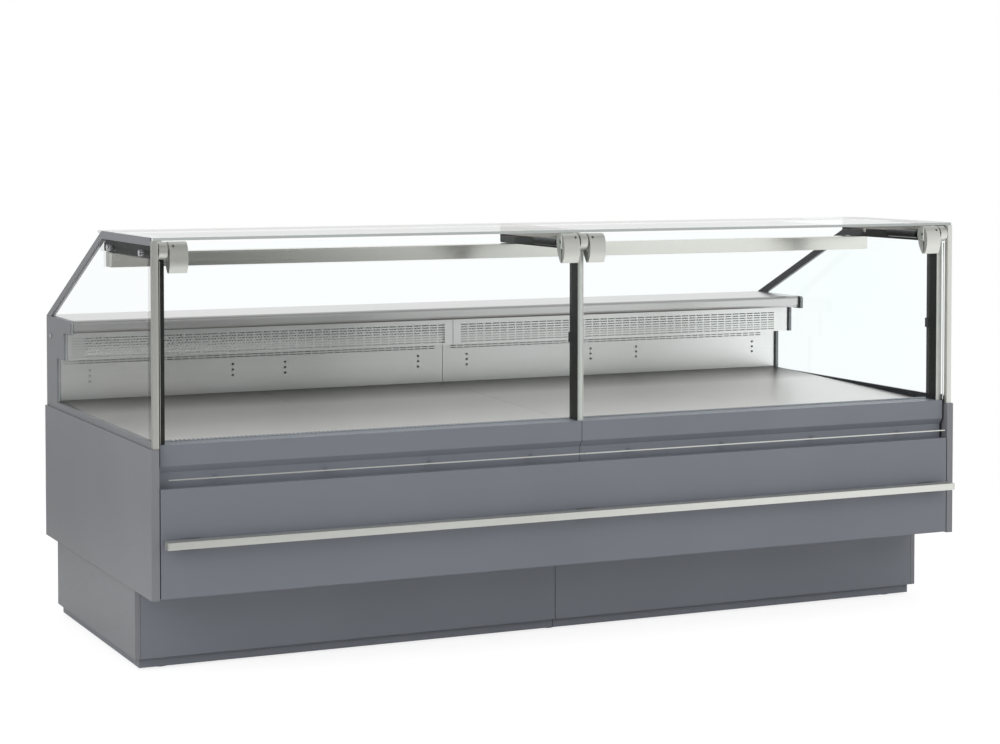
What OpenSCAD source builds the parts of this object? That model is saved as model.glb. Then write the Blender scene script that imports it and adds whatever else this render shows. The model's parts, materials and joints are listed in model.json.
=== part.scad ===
// Serve-over refrigerated display counter, two modules long, with lift-up front glass.
// X runs along the counter, -Y is the customer's side, Z is up from the floor.
// Depths below are counted backwards from the face of the front panel.

/* [Body] */
// Length of one display module
module_len = 1250; // [1000:25:1500]
// Thickness of a lower end panel
end_panel_t = 22.5; // [18:0.5:40]
// Depth of a lower end panel, front to back
end_panel_depth = 1136; // [1120:2:1180]
// Height of the underside of the body
body_low = 227; // [200:1:240]
// Height of the top of the lower end panels
end_panel_top = 626; // [620:1:630]
// Chamfer on the upright edges of the end panels
panel_edge = 1.5; // [0.5:0.5:4]
// Thickness of painted and stainless sheet
sheet = 1.5; // [1:0.1:2]
// Gap between sheet pieces that meet end to end
seam = 1.6; // [0.6:0.2:4]

/* [Base] */
// Depth of the kick plate's face behind the front
kick_y = 188.4; // [120:0.1:195]
// Height of the lower edge of the kick plate
kick_low = 33.4; // [20:0.1:60]
// Fold depth of the kick plate
kick_fold = 16.6; // [10:0.1:20]
// Thickness of a base side panel
base_side_t = 15; // [10:1:20]
// Distance of the base's rear edge from the back
base_in = 113.3; // [80:0.1:120]
// Gap from the floor to the skirting
skirt_gap = 6; // [2:1:15]
// Height of the skirting strip
skirt_h = 54; // [40:1:80]
// Thickness of the skirting strip
skirt_t = 12; // [6:1:16]
// Side of the base frame's square tube
tube = 40; // [30:2:50]
// Wall of the base frame's tube
tube_wall = 3; // [2:0.5:5]
// Distance of the outer legs from the module's end
leg_in = 70; // [60:1:120]
// Depth of the front legs' axis
leg_front_y = 250; // [240:1:300]
// Distance of the rear legs' axis from the base's rear edge
leg_back_in = 37.7; // [30:0.1:100]
// Height of the lower end of the legs
leg_low = 44; // [36:1:60]
// Radius of a levelling foot
foot_r = 24; // [16:1:30]
// Radius of a levelling foot's stud
stud_r = 6; // [4:0.5:8]

/* [Front] */
// Height of the lower edge of the front panel
front_low = 230; // [228:1:260]
// Height of the top edge of the front panel
front_top = 520; // [508:1:535]
// Gap between the front panel and an end panel
front_gap = 2.7; // [1:0.1:6]
// Setback of the upper fascia
fascia_y = 17; // [10:1:24]
// Setback of the band below the undercut
band_y = 31; // [26:1:40]
// Height of the fascia's lower edge
fascia_low = 579; // [570:1:590]
// Height of the foot of the undercut
undercut_low = 561; // [550:1:566]
// Height of the band's hidden lower edge
band_low = 505; // [490:1:507]
// Height of the ledge on top of the fascia
ledge_z = 635; // [630:1:645]
// Thickness of the insulated front wall
front_wall = 52.5; // [40:0.5:53]
// Gap between the fascia's end and an end panel
fascia_end_gap = 7; // [4:0.5:12]
// Height of the bright trim strip
trim_z = 542; // [530:1:552]
// Height of the bright trim strip's section
trim_t = 3; // [2:0.1:4]
// Distance of the left trim strip's end from the end panel
trim_inset_left = 26; // [5:0.5:40]
// Distance of the right trim strip's end from the end panel
trim_inset_right = 7; // [5:0.5:40]

/* [Bumper] */
// Reach of the bumper rail in front of the panel
bumper_out = 51; // [40:1:80]
// Depth of the bumper rail's section
bumper_d = 40; // [25:1:60]
// Height of the bumper rail's section
bumper_h = 20; // [14:1:40]
// Height of the bumper rail's underside
bumper_z = 367; // [320:1:420]
// Wall of the bumper rail
bumper_wall = 2; // [1.5:0.5:4]
// Setback of the bumper's ends from the counter's ends
bumper_inset = 29.5; // [10:0.5:60]
// Thickness of a bumper end cap
bumper_cap = 4; // [2:0.5:8]
// Width of a bumper bracket
bracket_w = 55; // [30:1:80]
// Distance of the outer brackets from the module's end
bracket_in = 82; // [60:1:200]

/* [Interior] */
// Height of the tank's floor
tank_floor = 290; // [270:1:310]
// Thickness of the insulated rear wall
rear_wall_t = 46; // [40:1:50]
// Distance of the tank's back from the counter's back
tank_in = 24; // [20:1:32]
// Distance of the stainless rear wall from the counter's back
wall_in = 121; // [110:1:140]
// Height of the deck at the rear wall
deck_z = 650.3; // [646:0.1:656]
// Fall of the deck towards the front, in degrees
deck_slope = 1.56; // [0:0.02:2]
// Depth of the deck's front edge
deck_front = 110; // [109:1:125]
// Radius of a tray's finger hole
finger_r = 10; // [6:1:16]
// Depth of the finger holes
finger_y = 150; // [140:1:200]
// Reach of the air outlet grille in front of the rear wall
grille_out = 85; // [60:1:100]
// Height of the lower edge of the outlet grille
grille_low = 779; // [760:1:790]
// Pitch of the grille's slots along the counter
slot_pitch = 28; // [20:1:40]
// Length of a grille slot
slot_len = 23.6; // [12:0.2:25]
// Height of a grille slot
slot_h = 3.6; // [2:0.2:5]
// Rows of slots in the outlet grille
slot_rows = 8; // [2:1:8]
// Pitch of the slots in the rear wall
wall_pitch = 25; // [16:1:40]
// Pitch of the comb slots of the air return
comb_pitch = 12.4; // [8:0.1:20]
// Width of a comb slot
comb_slot = 6.2; // [3:0.1:7]
// Distance of a shelf hole column from its module edge
hole_col = 86; // [50:1:150]

/* [Worktop] */
// Reach of the worktop's front edge in front of the grille
worktop_out = 70.6; // [50:0.1:80]
// Height of the worktop
worktop_z = 902; // [896:1:915]
// Height of the worktop's nose
nose_h = 38; // [30:1:45]
// Radius of the upper edge of the nose
nose_r = 12; // [8:1:14]
// Distance of the worktop's rear edge from the counter's back
worktop_in = 5; // [2:1:7]

/* [Ends] */
// Thickness of an upper end wall
end_wall_t = 12.5; // [8:0.5:14]
// Setback of the upper end from the counter's end
end_inset = 5.4; // [3:0.1:8]
// Height of the kerb under the end glass
kerb_z = 645; // [640:1:650]
// Step of the end wall in front of the interior faces
end_lip = 6; // [2:1:12]
// Thickness of the end frame's bar, square to its length
bar = 22; // [16:1:30]
// Depth of the bend of the end frame
apex_y = 497; // [440:1:520]
// Thickness of the end glass
end_glass_t = 6; // [4:0.5:8]
// Width of a front stile
stile_w = 17.4; // [12:0.1:20]
// Depth of a front stile
stile_d = 14; // [8:1:16]
// Setback of a front stile
stile_y = 4; // [0:1:6]
// Radius of a glass knob's shank
knob_shank = 6; // [4:0.5:8]
// Radius of a glass knob's head
knob_r = 9; // [8.5:0.5:14]

/* [Canopy] */
// Height of the counter
top_z = 1182; // [1176:1:1200]
// Thickness of the top glass
top_glass_t = 8; // [6:0.5:10]
// Setback of the top glass
top_glass_y = 5; // [5:1:20]
// Depth of the rear edge of the top glass
top_glass_back = 549; // [510:1:580]
// Width of a post
post_w = 17.3; // [12:0.1:22]
// Depth of a post, front to back
post_d = 52; // [30:1:53]
// Distance of an end post's axis from the end panel
post_in = 15; // [14.5:0.5:18]
// Wall of a post
post_wall = 2; // [1.5:0.5:3]
// Height of the arms' section
arm_h = 26; // [18:1:26]
// Depth of the arms' rear end
arm_back = 553; // [500:1:590]
// Width of the rails that carry the top glass
rail_w = 20; // [16:1:22]
// Depth of the lamp bar's front
lamp_y = 443.7; // [350:0.1:450]
// Depth of the lamp bar's section
lamp_d = 59; // [40:1:80]
// Height of the lamp bar's section
lamp_h = 41.5; // [30:0.5:60]
// Wall of the lamp bar
lamp_wall = 2; // [1:0.5:3]

/* [Lift-up glass] */
// Thickness of the front glass
glass_t = 6; // [4:0.5:6]
// Setback of the front glass
glass_y = 12; // [11:0.5:13]
// Gap under the front glass
glass_gap = 3; // [1:0.5:6]
// Radius of a fixed hinge block
block_r = 24; // [20:1:24]
// Width of a fixed hinge block
block_w = 23; // [18:1:24]
// Radius of a moving knuckle about the hinge axis
knuckle_r = 24; // [22:1:24]
// Width of a moving knuckle
knuckle_w = 50; // [44:1:60]
// Gap between a fixed block and a moving knuckle
knuckle_gap = 4.5; // [2:0.5:8]
// Reach of a knuckle below the hinge axis
knuckle_drop = 59.4; // [45:0.1:70]
// Height of glass held in a knuckle
glass_grip = 40; // [25:1:40]
// Radius of the hinge pins
pin_r = 5; // [3:0.5:5]
// Running clearance of pins and rods
run_fit = 0.05; // [0.02:0.01:0.1]
// Opening angle of the front glass
open_angle = 80; // [60:1:80]
// Radius of the crank that the spring cylinder turns
crank_r = 14; // [12:0.5:14]
// Radius of the crank pin
crank_pin_r = 3; // [2:0.5:3]
// Radius of a spring cylinder
lift_r = 12; // [10:0.5:16]
// Length of a spring cylinder
lift_len = 150; // [140:1:220]
// Depth of the front end of the spring cylinders
lift_y = 82; // [82:1:180]
// Radius of a lift rod
rod_r = 5; // [3:0.5:5]

/* [Machinery] */
// Radius of a fan's opening
fan_r = 100; // [70:1:120]
// Distance of the fans from the middle
fan_x = 500; // [300:10:800]
// Radius of the drain pipe
drain_r = 20; // [18:1:30]
// Step from the drain pipe down to its spigot
drain_step = 4; // [3:0.5:6]
// Length of the drain's spigot
spigot_len = 60; // [40:1:80]
// Depth of the sockets at the ends of the cooling lines
socket_len = 60; // [30:1:80]
// Wall of the cooling lines
line_wall = 1.15; // [0.8:0.05:2]
// Radius of the suction line
suction_r = 11; // [8:0.5:14]
// Radius of the liquid line
liquid_r = 6; // [4:0.5:8]

/* [Hidden] */
$fn = 48;

half_body = module_len;
half_len = half_body + end_panel_t;
back_y = end_panel_depth;
front_y = bumper_out - (end_panel_depth + bumper_out) / 2;
touch = 0.3;

// Base
side_out = half_body + base_side_t;
base_back = back_y - base_in;
leg_x = half_body - leg_in;
leg_back_y = base_back - leg_back_in;
skirt_y = kick_y + kick_fold;
skirt_out = half_body - 1;
rail_half = skirt_out - skirt_t - 1;
foot_pad_h = 8;
nut_h = 8;
nut_r = 10;
leg_floor = 5;

// Front and tank
bracket_x = half_body - bracket_in;
tank_back = back_y - tank_in;
wall_y = back_y - wall_in;
grille_y = wall_y - grille_out;
worktop_y = grille_y - worktop_out;
worktop_back = back_y - worktop_in;
trim_y = 2;
trim_d = 4;
clips = 4;
clip_w = 12;
front_half = half_body - front_gap;
fascia_half = half_body - fascia_end_gap;
tank_front = band_y + sheet;
tank_inner = tank_front + front_wall;
tank_rear_in = tank_back - rear_wall_t;
top_fold = band_y - touch;
ledge_back = tank_inner;
comb_over = 23;
comb_back = ledge_back + comb_over;
comb_in = 65;
comb_half = half_body - comb_in;
comb_t = 1.2;

// Deck
liner = 1.2;
spacer_in = 60;
deck_fall = tan(deck_slope);
function deck_at(y) = deck_z - (wall_y - y) * deck_fall;
trays = 4;
tray_w = 2 * half_body / trays;
bearer = 20;
tray_lip = 15;

// Upper ends
end_out = half_len - end_inset;
end_in = end_out - end_wall_t;
inner_half = end_in - 0.2;
frame_back = back_y - 5;
lining_t = 3;
glass_low = top_z - top_glass_t;
frame_low = top_z - bar;
end_wall_top = worktop_z - 1;
slant = atan2(top_z - end_wall_top, frame_back - apex_y);
bar_foot_y = frame_back - bar / sin(slant);
bar_bend_y = apex_y - bar * tan(slant / 2);
stile_back = stile_y + stile_d;
stile_out = end_out - 0.6;
end_glass_x = end_in + 2.4;
nose_low = worktop_z - nose_h;
end_nose_y = worktop_y - end_lip - 1.4;
end_grille_y = grille_y - end_lip + 1;
end_wall_y = wall_y - end_lip;
nose_bevel = 6;
clamp_y0 = 43;
clamp_y1 = 490;
clamp_h = 28;
clamp_t = 6;
knob_depths = [108, 423];
knob_z = frame_low - 22;
end_bolt_y = frame_back - 57;
end_bolt_z = 842;
end_bolt_r = 7;

// Canopy
post_y = 28;
lug_d = 8;
lug_z = [worktop_z - 46, worktop_z - 17];
hinge_y = 25;
hinge_z = top_z - 35;
post_x = half_body - post_in;
post_xs = [-post_x, 0, post_x];
arm_low = hinge_z - block_r;
arm_top = arm_low + arm_h;
arm_front = hinge_y + block_r + 3;
arm_round = 7;
arm_end = 4;
lamp_half = half_body + 2;
lamp_low = arm_low - lamp_h;
top_glass_half = end_out - 4;

// Lift-up glass
window_in = glass_gap / 2;
window_out = post_x + post_w / 2 - 1;
block_gap = 3;
corner_w = block_w / 2 + block_gap;
corner_top = hinge_z - block_r - block_gap;
glass_floor = ledge_z + glass_gap;
glass_top = hinge_z + 20;
knuckle_low = hinge_z - knuckle_drop;
grip_top = knuckle_low + glass_grip;
knuckle_a = block_w / 2 + knuckle_gap;
knuckle_b = post_x - knuckle_a - knuckle_w;
cheek_r = 70;
cheek_angle = 24;
cheek_y = hinge_y + (cheek_r - knuckle_r) * cos(cheek_angle);
cheek_z = hinge_z - (cheek_r - knuckle_r) * sin(cheek_angle);
cheek_w = 18;
back_r = 110;
back_angle = 8;
cheek_back_y = hinge_y - (back_r - knuckle_r) * cos(back_angle);
cheek_back_z = hinge_z + (back_r - knuckle_r) * sin(back_angle);
fork_y = glass_y + glass_t + 3.5;
screw_r = 3.5;
screw_z = hinge_z + 13;
screw_in = 11;
crank_rest = open_angle / 2;
crank_y = hinge_y + crank_r * sin(crank_rest);
crank_z = hinge_z - crank_r * cos(crank_rest);
slot_z = hinge_z - crank_r * (1 + cos(crank_rest)) / 2;
rod_z = hinge_z - 3;
yoke_wall = 3;
yoke_slot = crank_pin_r + 0.5;
yoke_w = 12;
lift_wall = 2.5;
mount_in = 20;
mount_len = 40;
piston_t = 8;
lift_ring = 6;
lift_xs = [-knuckle_a - knuckle_w / 2, knuckle_b + knuckle_w / 2];

// Machinery
coil_y = 420;
coil_d = 220;
coil_low = 310;
coil_h = 120;
coil_in = 150;
coil_half = half_body - coil_in;
fins = 24;
fin_t = 2;
coil_tube_r = 6;
fan_y = 330;
fan_z = tank_floor + fan_r + 40;
fan_plate_t = 3;
motor_r = 36;
motor_len = 34;
hub_r = 38;
fan_shaft_r = 5;
fan_shaft_len = 40;
drain_x = 120;
drain_y = 760;
pipe_end = 118;
line_y = [480, 560];
line_in = 110;
line_x = half_body - line_in;
line_top = 380;
box_in = 225;
box_x = half_body - box_in;
box_z = 760;
box_w = 240;
box_h = 110;
panel_fold = 16;
control_in = 60;
switch_x = box_x - control_in;
knob_x = box_x + control_in;
dial_r = 18;
rocker_tilt = 8;
gland_r = 5.5;

paint = [0.46, 0.48, 0.51];
paint_side = [0.53, 0.54, 0.55];
steel = [0.72, 0.73, 0.72];
alu = [0.80, 0.81, 0.79];
black = [0.17, 0.17, 0.16];
chrome = [0.85, 0.86, 0.87];
glass = [0.80, 0.93, 0.93, 0.4];
foam = [0.85, 0.83, 0.74];
copper = [0.72, 0.45, 0.30];
plastic = [0.30, 0.31, 0.33];

// A box between two corners, with depths counted from the front panel
module span(x, y, z) {
  translate([x[0], front_y + y[0], z[0]]) cube([x[1] - x[0], y[1] - y[0], z[1] - z[0]]);
}

// A profile of depth and height, drawn out along the counter from x0 to x1
module along_x(x0, x1) {
  translate([x0, front_y, 0]) rotate([90, 0, 90]) linear_extrude(x1 - x0) children();
}

// A profile of length and height, drawn out from depth y0 to depth y1
module along_y(y0, y1) {
  translate([0, front_y + y1, 0]) rotate([90, 0, 0]) linear_extrude(y1 - y0) children();
}

// A round bar along the counter
module rod_x(x0, x1, y, z, r) {
  translate([x0, front_y + y, z]) rotate([0, 90, 0]) cylinder(r = r, h = x1 - x0);
}

// A round bar from front to back
module rod_y(x, y0, y1, z, r) {
  translate([x, front_y + y1, z]) rotate([90, 0, 0]) cylinder(r = r, h = y1 - y0);
}

// An upright round bar
module rod_z(x, y, z0, z1, r) {
  translate([x, front_y + y, z0]) cylinder(r = r, h = z1 - z0);
}

module both_ends() {
  children();
  mirror([1, 0, 0]) children();
}

// Base

module frame_bars(side, grow) {
  long = rail_half + grow;
  for (y = [leg_front_y, leg_back_y])
    span([-long, long], [y - side / 2, y + side / 2],
         [body_low - tube / 2 - side / 2, body_low - tube / 2 + side / 2]);
  for (x = [-leg_x, 0, leg_x])
    span([x - side / 2, x + side / 2], [leg_front_y, leg_back_y],
         [body_low - tube / 2 - side / 2, body_low - tube / 2 + side / 2]);
}

module base_frame() {
  inner = tube - 2 * tube_wall;
  color(black) difference() {
    union() {
      frame_bars(tube, 0);
      for (x = [-leg_x, 0, leg_x], y = [leg_front_y, leg_back_y])
        span([x - tube / 2, x + tube / 2], [y - tube / 2, y + tube / 2],
             [leg_low, body_low - tube / 2]);
    }
    frame_bars(inner, 1);
    for (x = [-leg_x, 0, leg_x], y = [leg_front_y, leg_back_y]) {
      span([x - inner / 2, x + inner / 2], [y - inner / 2, y + inner / 2],
           [leg_low + leg_floor, body_low - tube / 2]);
      rod_z(x, y, leg_low - 1, leg_low + leg_floor + 1, stud_r + run_fit);
    }
  }
}

module levelling_feet() {
  color(plastic) for (x = [-leg_x, 0, leg_x], y = [leg_front_y, leg_back_y]) {
    rod_z(x, y, 0, foot_pad_h, foot_r);
    rod_z(x, y, foot_pad_h, leg_low + leg_floor + 20, stud_r);
    translate([x, front_y + y, leg_low - nut_h]) cylinder(r = nut_r, h = nut_h, $fn = 6);
  }
}

module kick_plate() {
  x = [seam / 2, half_body - 0.5];
  color(paint) difference() {
    span(x, [kick_y, skirt_y], [kick_low, body_low]);
    span([x[0] + sheet, x[1] - sheet], [kick_y + sheet, skirt_y + 1],
         [kick_low + sheet, body_low - sheet]);
  }
}

module kick_plates() { both_ends() kick_plate(); }

module base_side() {
  color(paint_side) span([half_body, side_out], [kick_y, base_back], [kick_low, body_low]);
}

module base_sides() { both_ends() base_side(); }

module plinth_skirts() {
  z = [skirt_gap, skirt_gap + skirt_h];
  color(paint) both_ends() {
    span([seam / 2, skirt_out], [skirt_y, skirt_y + skirt_t], z);
    span([skirt_out - skirt_t, skirt_out], [skirt_y + skirt_t, base_back], z);
  }
}

// Insulated body

module insulated_tank() {
  color(foam) difference() {
    along_x(-half_body, half_body) polygon([
      [tank_front, body_low], [tank_back, body_low], [tank_back, worktop_z - 2],
      [tank_rear_in, worktop_z - 2], [tank_rear_in, tank_floor], [tank_inner, tank_floor],
      [tank_inner, ledge_z - sheet], [tank_front, ledge_z - sheet]
    ]);
    rod_z(drain_x, drain_y, body_low - 1, tank_floor + 1, drain_r + touch);
    rod_z(line_x, line_y[0], body_low - 1, tank_floor + 1, suction_r + touch);
    rod_z(line_x, line_y[1], body_low - 1, tank_floor + 1, liquid_r + touch);
  }
}

// Front

module front_panel() {
  color(paint) {
    difference() {
      span([-front_half, front_half], [0, tank_front], [front_low, front_top]);
      span([-front_half + sheet, front_half - sheet], [sheet, tank_front + 1],
           [front_low + sheet, front_top + 1]);
    }
    span([-front_half + sheet, front_half - sheet], [sheet, top_fold],
         [front_top - sheet, front_top]);
  }
}

module fascia() {
  pitch = (fascia_half - seam / 2) / clips;
  color(paint) {
    for (i = [0 : clips - 1])
      span([seam / 2 + (i + 0.5) * pitch - clip_w / 2, seam / 2 + (i + 0.5) * pitch + clip_w / 2],
           [trim_y + trim_d, band_y + sheet / 2], [trim_z + 0.5, trim_z + trim_t - 0.5]);
    along_x(seam / 2, fascia_half) polygon([
      [band_y, band_low], [band_y, undercut_low], [fascia_y, fascia_low], [fascia_y, ledge_z],
      [ledge_back, ledge_z], [ledge_back, ledge_z - sheet], [fascia_y + sheet, ledge_z - sheet],
      [fascia_y + sheet, fascia_low + 0.6], [band_y + sheet, undercut_low + 0.6],
      [band_y + sheet, band_low]
    ]);
  }
}

module upper_fascias() { both_ends() fascia(); }

module fascia_end_gaskets() {
  x0 = fascia_half + touch;
  back = tank_front - touch / 3;
  color(black) both_ends() {
    along_x(x0, half_body - touch) polygon([
      [fascia_y + 3, ledge_z - 0.5], [back, ledge_z - 0.5], [back, front_top + touch],
      [band_y - 2, front_top + touch], [band_y - 2, undercut_low + 2], [fascia_y + 3, fascia_low + 1]
    ]);
    span([post_x + post_w / 2 + touch, stile_out - stile_w - touch],
         [stile_back + 1, stile_back + 27], [ledge_z - 0.5, kerb_z + 7]);
  }
}

module trim_strips() {
  z = [trim_z, trim_z + trim_t];
  color(chrome) {
    span([trim_inset_left - half_body, -seam / 2], [trim_y, trim_y + trim_d], z);
    span([seam / 2, half_body - trim_inset_right], [trim_y, trim_y + trim_d], z);
  }
}

// Bumper

module bumper_rail() {
  half = half_len - bumper_inset - bumper_cap;
  w = bumper_wall;
  color(alu) difference() {
    span([-half, half], [-bumper_out, bumper_d - bumper_out], [bumper_z, bumper_z + bumper_h]);
    span([-half - 1, half + 1], [w - bumper_out, bumper_d - w - bumper_out],
         [bumper_z + w, bumper_z + bumper_h - w]);
  }
}

module bumper_end_caps() {
  x0 = half_len - bumper_inset - bumper_cap;
  w = bumper_wall + touch / 2;
  color(alu) both_ends() {
    translate([x0, front_y - bumper_out, bumper_z]) linear_extrude(bumper_h) polygon([
      [0, 0], [bumper_cap, 0], [bumper_cap, bumper_d - 10], [bumper_cap / 2, bumper_d - 3],
      [0, bumper_d]
    ]);
    span([x0 - 12, x0], [w - bumper_out, bumper_d - w - bumper_out],
         [bumper_z + w, bumper_z + bumper_h - w]);
  }
}

module bumper_brackets() {
  color(plastic) for (x = [-bracket_x, 0, bracket_x])
    span([x - bracket_w / 2, x + bracket_w / 2], [bumper_d - bumper_out, 0],
         [bumper_z - 9, bumper_z + bumper_h + 1]);
}

// Ends

module end_panel() {
  e = panel_edge;
  color(paint_side) translate([half_body, front_y, body_low])
    linear_extrude(end_panel_top - body_low) polygon([
      [0, 0], [end_panel_t - e, 0], [end_panel_t, e], [end_panel_t, end_panel_depth - e],
      [end_panel_t - e, end_panel_depth], [0, end_panel_depth]
    ]);
}

module end_panel_right() { end_panel(); }
module end_panel_left() { mirror([1, 0, 0]) end_panel(); }

// Outline of the painted end below the glass, stepped round the interior
module end_wall_outline() {
  polygon([
    [stile_back, end_panel_top], [frame_back, end_panel_top], [frame_back, end_wall_top],
    [end_nose_y + nose_bevel, end_wall_top], [end_nose_y, end_wall_top - nose_bevel],
    [end_nose_y, nose_low - 3], [end_grille_y, nose_low - 3], [end_grille_y, grille_low],
    [end_wall_y, grille_low], [end_wall_y, kerb_z], [stile_back, kerb_z]
  ]);
}

// Outline of the end frame where it carries the top glass
module end_frame_outline() {
  polygon([
    [stile_back, frame_low], [stile_back, glass_low],
    [apex_y + top_glass_t / tan(slant), glass_low],
    [frame_back, end_wall_top], [bar_foot_y, end_wall_top], [bar_bend_y, frame_low]
  ]);
}

module end_wall() {
  color(paint_side) difference() {
    along_x(end_in + lining_t, end_out) end_wall_outline();
    rod_x(end_out - 8.5, end_out + 1, end_bolt_y, end_bolt_z, 4 + 2 * run_fit);
  }
}

module end_wall_right() { end_wall(); }
module end_wall_left() { mirror([1, 0, 0]) end_wall(); }

module end_linings() {
  color(black) both_ends() along_x(end_in, end_in + lining_t) {
    end_wall_outline();
    end_frame_outline();
  }
}

module end_frame() {
  lip = 3;
  color(paint_side) {
    along_x(end_in + lining_t, end_out) end_frame_outline();
    along_x(end_out - lip, end_out) polygon([
      [stile_back, frame_low], [stile_back, top_z], [apex_y, top_z],
      [frame_back, end_wall_top], [bar_foot_y, end_wall_top], [bar_bend_y, frame_low]
    ]);
  }
}

module end_frames() { both_ends() end_frame(); }

module front_stiles() {
  color(alu) both_ends()
    span([stile_out - stile_w, stile_out], [stile_y, stile_back], [end_panel_top, glass_low]);
}

module end_glass() {
  g = touch;
  color(glass) difference() {
    along_x(end_glass_x, end_glass_x + end_glass_t) polygon([
      [stile_back + g, kerb_z + g], [end_wall_y - g, kerb_z + g], [end_wall_y - g, grille_low - g],
      [end_grille_y - g, grille_low - g], [end_grille_y - g, nose_low - 3 - g],
      [end_nose_y - g, nose_low - 3 - g], [end_nose_y - g, end_wall_top - nose_bevel],
      [end_nose_y + nose_bevel - g, end_wall_top + g], [bar_foot_y - 3 * g, end_wall_top + g],
      [bar_bend_y - g, frame_low - g], [stile_back + g, frame_low - g]
    ]);
    for (y = knob_depths)
      rod_x(end_glass_x - 1, end_glass_x + end_glass_t + 1, y, knob_z, knob_shank + touch);
  }
}

module end_glass_right() { end_glass(); }
module end_glass_left() { mirror([1, 0, 0]) end_glass(); }

module glass_clamp_bars() {
  color(black) both_ends() difference() {
    span([end_glass_x - clamp_t, end_glass_x], [clamp_y0, clamp_y1],
         [frame_low - 0.5 - clamp_h, frame_low - 0.5]);
    for (y = knob_depths)
      rod_x(end_glass_x - clamp_t - 1, end_glass_x + 1, y, knob_z, knob_shank + 2 * run_fit);
  }
}

module glass_knobs() {
  x0 = end_glass_x - clamp_t;
  x1 = end_glass_x + end_glass_t;
  color(chrome) both_ends() {
    for (y = knob_depths) {
      rod_x(x0 - 5, x0, y, knob_z, knob_r);
      rod_x(x0, x1, y, knob_z, knob_shank);
      rod_x(x1, x1 + 2, y, knob_z, knob_r);
      rod_x(x1 + 2, x1 + 4.5, y, knob_z, knob_shank);
      rod_x(x1 + 4.5, x1 + 9, y, knob_z, knob_r);
    }
    rod_x(end_out - 8, end_out, end_bolt_y, end_bolt_z, 4);
    rod_x(end_out, end_out + 3.5, end_bolt_y, end_bolt_z, end_bolt_r);
  }
}

// Canopy

module canopy_posts() {
  w = post_wall;
  half = post_w / 2;
  back = post_y + post_d;
  color(black) for (x = post_xs) {
    difference() {
      span([x - half, x + half], [post_y, back], [ledge_z, arm_low]);
      span([x - half + w, x + half - w], [post_y + w, back - w], [ledge_z - 1, arm_low + 1]);
    }
    if (x > -post_x) span([x - half, x + half], [back, back + lug_d], lug_z);
  }
}

module post_front_strips() {
  color(alu) for (x = [0, post_x])
    span([x - post_w / 2, x + post_w / 2], [post_y - 2, post_y], [ledge_z, arm_low - 1]);
}

// An arm with its rear lower corner rounded, hollow up to the plug in its rear end
module canopy_arms() {
  w = post_wall;
  half = post_w / 2;
  color(black) for (x = post_xs) difference() {
    along_x(x - half, x + half) {
      translate([arm_front, arm_low]) square([arm_back - arm_front - arm_round, arm_h]);
      translate([arm_front, arm_low + arm_round])
        square([arm_back - arm_front, arm_h - arm_round]);
      translate([arm_back - arm_round, arm_low + arm_round]) circle(arm_round);
    }
    span([x - half + w, x + half - w], [arm_front - 1, arm_back - arm_round - arm_end],
         [arm_low + w, arm_top - w]);
  }
}

module canopy_rails() {
  color(alu) for (x = post_xs)
    span([x - rail_w / 2, x + rail_w / 2], [arm_front, top_glass_back], [arm_top, glass_low]);
}

module top_glass() {
  color(glass) both_ends()
    span([seam / 2, top_glass_half], [top_glass_y, top_glass_back], [glass_low, top_z]);
}

module lamp_housing() {
  w = lamp_wall;
  color(alu) difference() {
    span([-lamp_half, lamp_half], [lamp_y, lamp_y + lamp_d], [lamp_low, arm_low]);
    span([-lamp_half + w, lamp_half - w], [lamp_y + w, lamp_y + lamp_d - w],
         [lamp_low - 1, arm_low - w]);
  }
}

module lamp_diffuser() {
  g = lamp_wall + 0.2;
  color("white") span([-lamp_half + g, lamp_half - g], [lamp_y + g, lamp_y + lamp_d - g],
                      [lamp_low + 1, lamp_low + 4]);
}

module led_strip() {
  color("white") span([-lamp_half + 20, lamp_half - 20], [lamp_y + 16, lamp_y + lamp_d - 16],
                      [arm_low - lamp_wall - 2, arm_low - lamp_wall]);
}

// Lift-up glass, drawn for the right-hand window

module front_glass() {
  notch = 1;
  y = [glass_y - 1, glass_y + glass_t + 1];
  top = glass_top + 1;
  color(glass) difference() {
    span([window_in, window_out], [glass_y, glass_y + glass_t], [glass_floor, glass_top]);
    for (x = [knuckle_a, knuckle_b])
      span([x - notch, x + knuckle_w + notch], y, [grip_top, top]);
    span([window_in - 1, knuckle_a], y, [grip_top, top]);
    span([knuckle_b + knuckle_w, window_out + 1], y, [grip_top, top]);
    span([window_in - 1, corner_w], y, [corner_top, top]);
    span([post_x - corner_w, window_out + 1], y, [corner_top, top]);
  }
}

module front_glass_right() { front_glass(); }
module front_glass_left() { mirror([1, 0, 0]) front_glass(); }

// Side view of a knuckle: a disc about the hinge, and below it a foot between two wider arcs
// that run smoothly into the disc
module knuckle_outline() {
  far = 2 * knuckle_r;
  translate([hinge_y, hinge_z]) circle(knuckle_r);
  intersection() {
    translate([cheek_y, cheek_z]) circle(cheek_r);
    translate([cheek_back_y, cheek_back_z]) circle(back_r);
    polygon([
      [hinge_y, hinge_z], [hinge_y - far * cos(cheek_angle), hinge_z + far * sin(cheek_angle)],
      [hinge_y - far, knuckle_low], [hinge_y + far, knuckle_low],
      [hinge_y + far * cos(back_angle), hinge_z - far * sin(back_angle)]
    ]);
  }
}

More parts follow.
